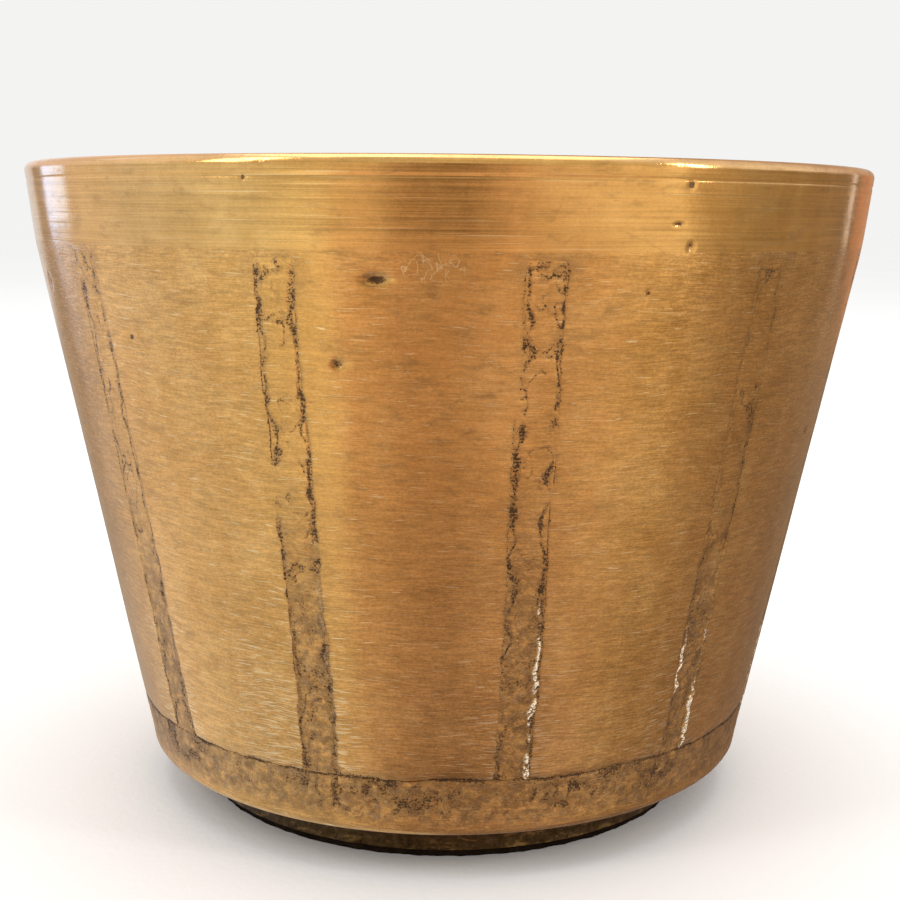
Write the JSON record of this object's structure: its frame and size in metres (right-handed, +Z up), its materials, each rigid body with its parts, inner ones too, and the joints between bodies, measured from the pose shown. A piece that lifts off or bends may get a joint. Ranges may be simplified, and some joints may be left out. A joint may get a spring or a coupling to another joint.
{
  "type": "pen holder cup",
  "caption": "Tapered round brass cup for pens, with a turned rim collar, narrow strips let into its brushed wall, a base hoop and an inset foot.",
  "frame": {"origin": "centre of the felt pad's underside, on the desk", "axes": "+Z up the cup's axis; -Y towards the viewer in the picture; +X to the viewer's right"},
  "size_m": [0.112, 0.112, 0.084],
  "materials": {
    "brushed_brass": "brushed across by hand, worn",
    "turned_brass": "turned on a lathe, fine lines",
    "rough_brass": "as cast, pitted, dark in the corners",
    "inside_brass": "turned, dull",
    "dark_brass": "darkened, semi-gloss",
    "felt": "matt felt"
  },
  "bodies": {
    "root": {"wall": "brushed_brass", "rim_collar": "turned_brass", "strip_01": "rough_brass", "strip_02": "rough_brass", "strip_03": "rough_brass", "strip_04": "rough_brass", "strip_05": "rough_brass", "strip_06": "rough_brass", "strip_07": "rough_brass", "strip_08": "rough_brass", "strip_09": "rough_brass", "strip_10": "rough_brass", "strip_11": "rough_brass", "strip_12": "rough_brass", "base_hoop": "rough_brass", "floor_disc": "inside_brass", "foot_ring": "dark_brass", "felt_pad": "felt"}
  },
  "joints": []
}
